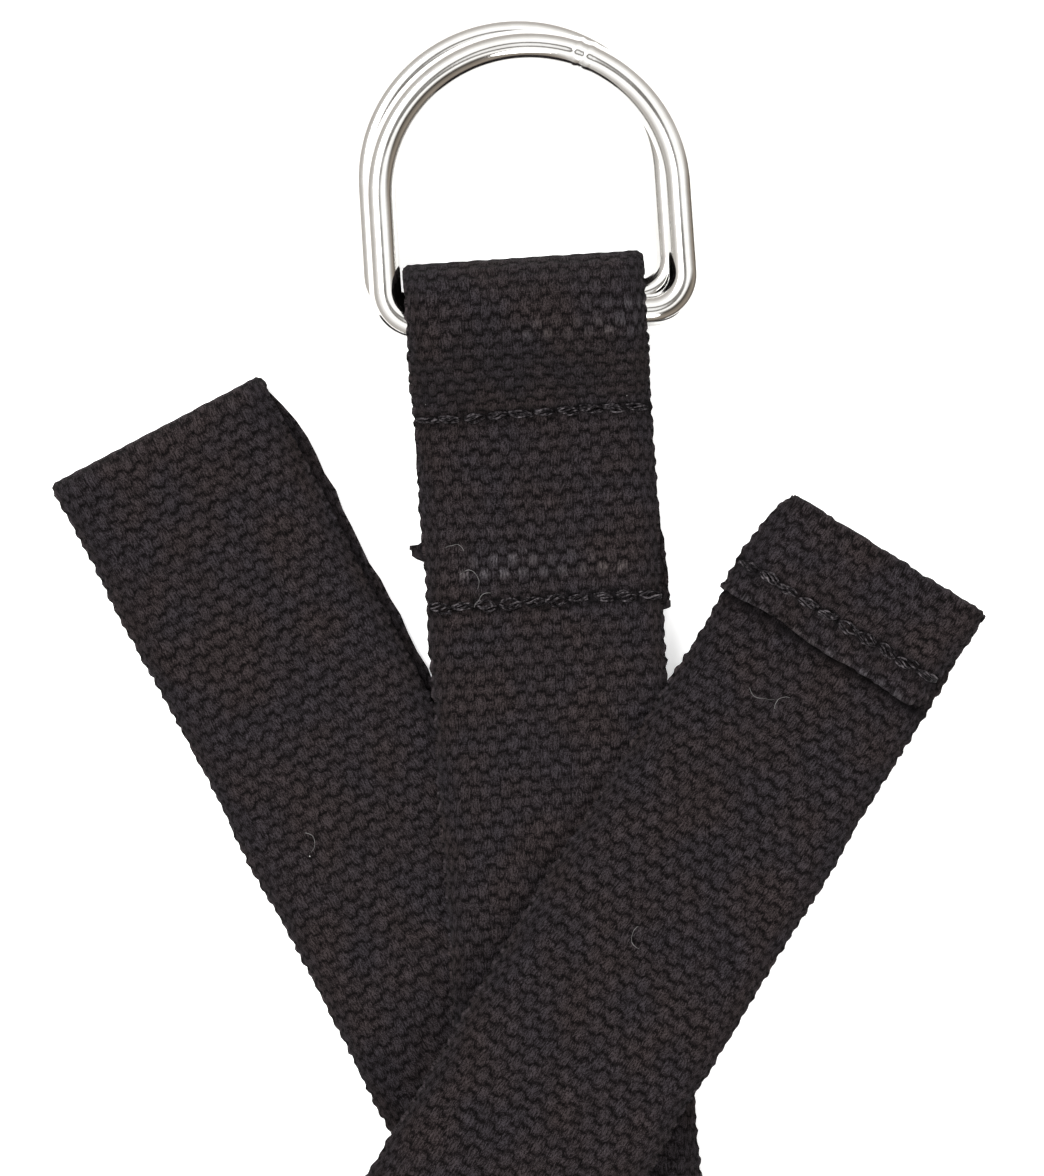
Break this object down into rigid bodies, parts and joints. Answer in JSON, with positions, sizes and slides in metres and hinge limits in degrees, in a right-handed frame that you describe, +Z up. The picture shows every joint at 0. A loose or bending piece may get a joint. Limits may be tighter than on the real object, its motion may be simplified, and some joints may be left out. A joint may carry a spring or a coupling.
{
  "type": "stretching strap",
  "caption": "Flat woven cotton stretching strap with chrome D-rings sewn into a loop at one end and a stitched hem at the other, laid folded with its spare length in a flat bundle.",
  "frame": {"origin": "on the underside of the lowest layer of webbing, straight below the middle of the fold where the centre run turns back into the left run", "axes": "+Y runs towards the D-rings, along the strap's longest extent as it lies; +X to the right; +Z up from the surface it lies on"},
  "size_m": [0.1944, 0.2429, 0.0214],
  "materials": {
    "webbing": "matt, coarse woven cotton",
    "thread": "slightly shiny twisted thread",
    "ring": "polished chrome plate"
  },
  "bodies": {
    "strap": {"webbing_ring_loop": "webbing", "webbing_flap": "webbing", "webbing_flap_fold": "webbing", "webbing_flap_end": "webbing", "webbing_centre_run": "webbing", "webbing_centre_fold": "webbing", "webbing_left_upper_run": "webbing", "webbing_left_fold": "webbing", "webbing_left_lower_run": "webbing", "webbing_bundle_entry": "webbing", "webbing_bundle": "webbing", "webbing_bundle_exit": "webbing", "webbing_tail_run": "webbing", "webbing_tail_end": "webbing", "webbing_hem_fold": "webbing", "webbing_hem_flap": "webbing", "loop_stitch_row": "thread", "flap_stitch_row": "thread", "hem_stitch_row": "thread"},
    "upper_ring": {"upper_ring": "ring"},
    "lower_ring": {"lower_ring": "ring"}
  },
  "joints": [
    {"name": "upper_ring_swing", "type": "hinge", "parent": "strap", "child": "upper_ring", "pos_m": [-0.0077, 0.14541, 0.0119], "axis": [0.9979, 0.0645, 0], "range_deg": [0, 180]},
    {"name": "lower_ring_swing", "type": "hinge", "parent": "strap", "child": "lower_ring", "pos_m": [-0.00949, 0.1483, 0.0063], "axis": [0.9979, 0.0645, 0], "range_deg": [-160, 0]}
  ]
}
